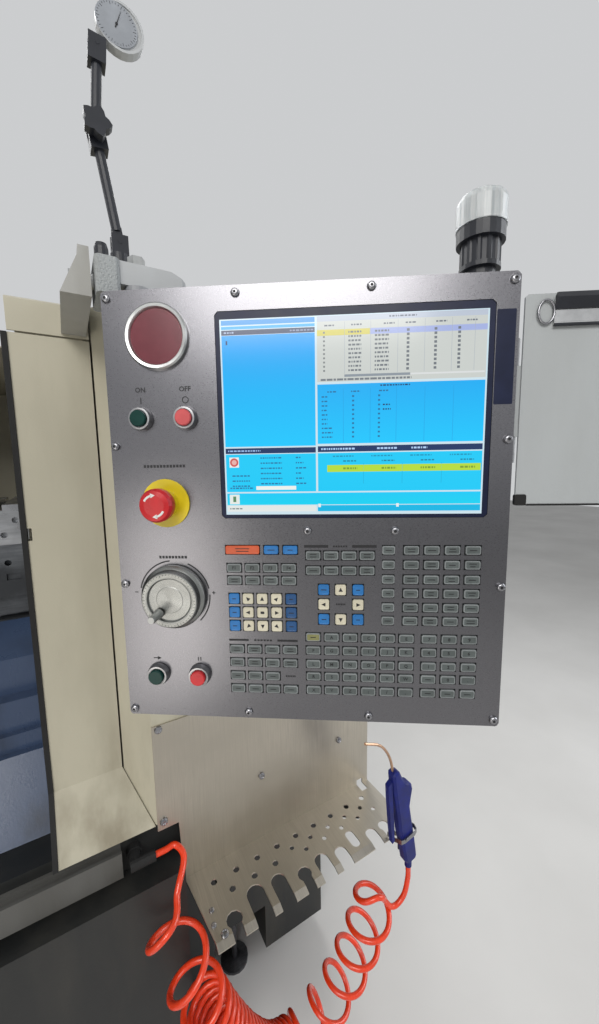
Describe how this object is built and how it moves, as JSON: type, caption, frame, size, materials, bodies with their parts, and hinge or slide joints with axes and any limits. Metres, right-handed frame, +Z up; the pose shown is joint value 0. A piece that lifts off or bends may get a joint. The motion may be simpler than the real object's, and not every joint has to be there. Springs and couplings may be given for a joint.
{
  "type": "cnc turning lathe",
  "caption": "Compact CNC turning lathe with a sliding door, a swivelling operator pendant, a tool tray with an air gun and a base on levelling feet.",
  "frame": {"origin": "middle of the machine's footprint on the floor, the free air hose left out", "axes": "+Z up, +X to the operator's right, +Y from the operator into the machine"},
  "size_m": [1.8562, 1.557, 2.018],
  "materials": {
    "cream": "satin powder coat",
    "charcoal": "satin paint",
    "black": "matt oxide",
    "grey": "machined and painted",
    "pale": "satin paint",
    "blue_grey": "oily sheet",
    "steel": "brushed",
    "dark_steel": "dark ground steel",
    "chrome": "bright",
    "copper": "drawn tube",
    "rubber": "matt",
    "plastic": "fine texture",
    "key": "moulded keys",
    "glass": "clear",
    "screen": "lit display",
    "red": "gloss",
    "green": "gloss",
    "yellow": "gloss",
    "maroon": "enamel",
    "blue": "moulded",
    "orange": "polyurethane"
  },
  "bodies": {
    "machine": {"air_gun_body": "blue", "air_gun_hanger": "chrome", "air_gun_nozzle": "copper", "air_hose": "orange", "arm_beam": "pale", "arm_knuckle": "pale", "base_frame": "charcoal", "bed": "grey", "clamp_knob": "plastic", "control_column": "cream", "door_rail": "grey", "door_seal": "rubber", "enclosure_shell": "cream", "front_corner_panel": "cream", "header_panel": "cream", "headstock": "grey", "holding_arm_base": "plastic", "hose_fitting": "rubber", "knuckle_bolt": "chrome", "levelling_foot_front_left": "dark_steel", "levelling_foot_front_right": "dark_steel", "levelling_foot_rear_left": "dark_steel", "levelling_foot_rear_right": "dark_steel", "post_bracket": "cream", "swivel_bolt": "chrome", "tool_tray": "steel", "tray_bracket": "charcoal", "way_cover": "blue_grey"},
    "spindle": {"spindle_nose": "dark_steel", "collet": "steel"},
    "saddle": {"carriage": "grey"},
    "tool_slide": {"cross_slide": "grey", "tool_block": "steel", "tool_holder": "dark_steel", "turning_tool": "black"},
    "door": {"sliding_door": "cream", "door_window": "glass", "door_handle": "plastic"},
    "pendant": {"pendant_housing": "pale", "face_plate": "steel", "screen_panel": "screen", "keypad": "key", "badge": "maroon", "estop_ring": "yellow", "beacon_base": "plastic", "beacon_lens": "glass"},
    "power_on": {"power_on_button": "green"},
    "power_off": {"power_off_button": "red"},
    "cycle_start": {"cycle_start_button": "green"},
    "feed_hold": {"feed_hold_button": "red"},
    "estop": {"estop_button": "red"},
    "jog": {"jog_wheel": "chrome"},
    "jog_grip": {"jog_knob": "chrome"},
    "board": {"clipboard": "pale"},
    "clip": {"clipboard_clip": "chrome"},
    "trigger": {"air_gun_trigger": "blue"},
    "lower_link": {"holding_arm_lower": "plastic", "holding_arm_knob": "plastic"},
    "upper_link": {"holding_arm_upper": "plastic"},
    "gauge_head": {"holding_arm_gauge": "pale"}
  },
  "joints": [
    {"name": "door_slide", "type": "slide", "parent": "machine", "child": "door", "axis": [1, 0, 0], "range_m": [0, 0.525]},
    {"name": "spindle_spin", "type": "hinge", "parent": "machine", "child": "spindle", "pos_m": [-0.46807, 0.24855, 1.405], "axis": [1, 0, 0], "continuous": true},
    {"name": "carriage_slide", "type": "slide", "parent": "machine", "child": "saddle", "axis": [1, 0, 0], "range_m": [-0.14, 0.1]},
    {"name": "cross_slide_travel", "type": "slide", "parent": "saddle", "child": "tool_slide", "axis": [0, 1, 0], "range_m": [-0.05, 0.1]},
    {"name": "pendant_swivel", "type": "hinge", "parent": "machine", "child": "pendant", "pos_m": [0.32493, -0.31145, 1.665], "axis": [0, 0, 1], "range_deg": [-50, 35]},
    {"name": "power_on_push", "type": "slide", "parent": "pendant", "child": "power_on", "axis": [0.5745, 0.8185, 0], "range_m": [0, 0.003], "stiffness_N_per_m": 300},
    {"name": "power_off_push", "type": "slide", "parent": "pendant", "child": "power_off", "axis": [0.5745, 0.8185, 0], "range_m": [0, 0.003], "stiffness_N_per_m": 300},
    {"name": "cycle_start_push", "type": "slide", "parent": "pendant", "child": "cycle_start", "axis": [0.5745, 0.8185, 0], "range_m": [0, 0.003], "stiffness_N_per_m": 300},
    {"name": "feed_hold_push", "type": "slide", "parent": "pendant", "child": "feed_hold", "axis": [0.5745, 0.8185, 0], "range_m": [0, 0.003], "stiffness_N_per_m": 300},
    {"name": "estop_push", "type": "slide", "parent": "pendant", "child": "estop", "axis": [0.5745, 0.8185, 0], "range_m": [0, 0.0045], "stiffness_N_per_m": 900},
    {"name": "jog_spin", "type": "hinge", "parent": "pendant", "child": "jog", "pos_m": [0.33612, -0.37404, 1.2846], "axis": [0.5745, 0.8185, 0], "continuous": true},
    {"name": "jog_grip_spin", "type": "hinge", "parent": "jog", "child": "jog_grip", "pos_m": [0.32504, -0.36626, 1.26789], "axis": [0.5745, 0.8185, 0], "continuous": true},
    {"name": "clipboard_swing", "type": "hinge", "parent": "pendant", "child": "board", "pos_m": [0.6813, -0.59678, 1.3976], "axis": [0, 0, 1], "range_deg": [-20, 60]},
    {"name": "clip_open", "type": "hinge", "parent": "board", "child": "clip", "pos_m": [0.70225, -0.62785, 1.6236], "axis": [-0.8185, 0.5745, 0], "range_deg": [0, 25], "stiffness_Nm_per_rad": 0.4},
    {"name": "trigger_press", "type": "hinge", "parent": "machine", "child": "trigger", "pos_m": [0.73054, -0.35545, 0.81669], "axis": [0, -1, 0], "range_deg": [0, 4], "stiffness_Nm_per_rad": 0.8},
    {"name": "arm_shoulder", "type": "hinge", "parent": "machine", "child": "lower_link", "pos_m": [0.31093, -0.27945, 1.7373], "axis": [0, 1, 0], "range_deg": [-30, 40]},
    {"name": "arm_elbow", "type": "hinge", "parent": "lower_link", "child": "upper_link", "pos_m": [0.29193, -0.27945, 1.86], "axis": [0, 1, 0], "range_deg": [-60, 60]},
    {"name": "arm_wrist", "type": "hinge", "parent": "upper_link", "child": "gauge_head", "pos_m": [0.29993, -0.27945, 1.958], "axis": [0, 1, 0], "range_deg": [-45, 45]}
  ]
}
